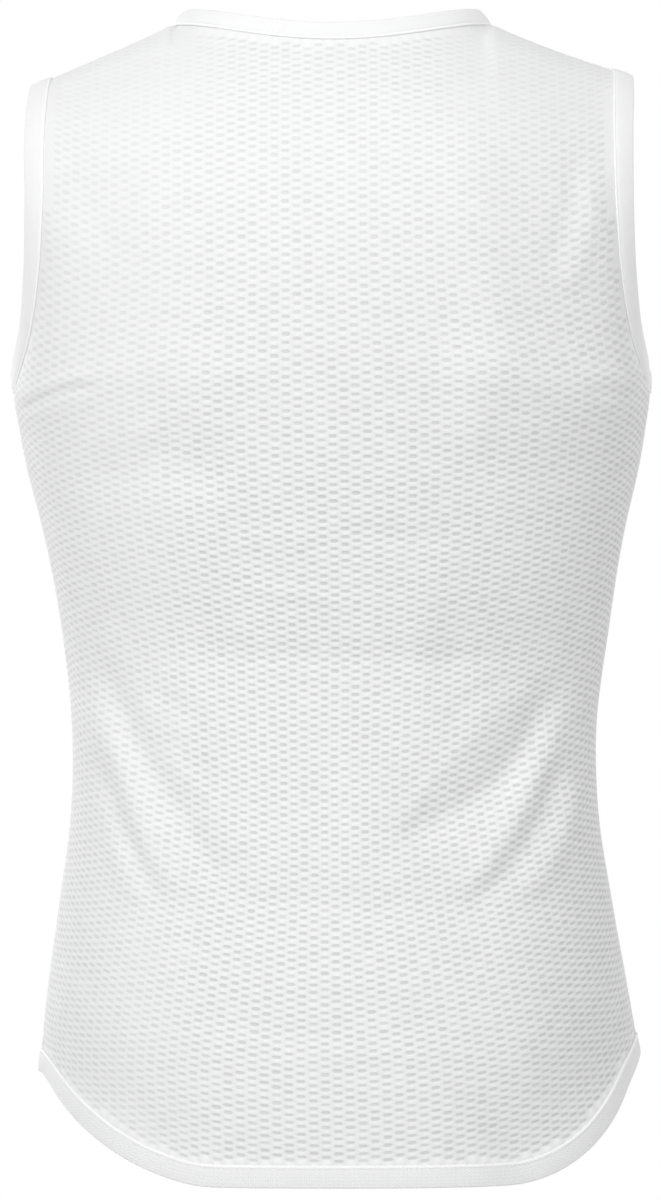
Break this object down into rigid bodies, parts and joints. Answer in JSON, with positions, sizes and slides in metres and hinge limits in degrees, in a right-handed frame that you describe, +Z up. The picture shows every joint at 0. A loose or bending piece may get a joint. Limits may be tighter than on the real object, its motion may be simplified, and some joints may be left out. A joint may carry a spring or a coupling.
{
  "type": "sleeveless base layer",
  "caption": "Fitted sleeveless base layer of fine mesh knit with a scooped neck, bound armholes and a shirt-tail hem, worn open and hollow.",
  "frame": {"origin": "between the shoulders, level with the two side neck points, where the wearer's shoulders hold the garment up", "axes": "+Z up, +Y towards the back of the garment, +X towards the wearer's left"},
  "size_m": [0.3673, 0.2396, 0.6631],
  "materials": {
    "mesh_knit": "matt mesh knit",
    "smooth_knit": "soft smooth knit"
  },
  "bodies": {
    "root": {"back_panel": "mesh_knit", "front_panel": "mesh_knit", "neck_binding": "smooth_knit", "armhole_binding_left": "smooth_knit", "armhole_binding_right": "smooth_knit", "hem_band": "smooth_knit"}
  },
  "joints": []
}
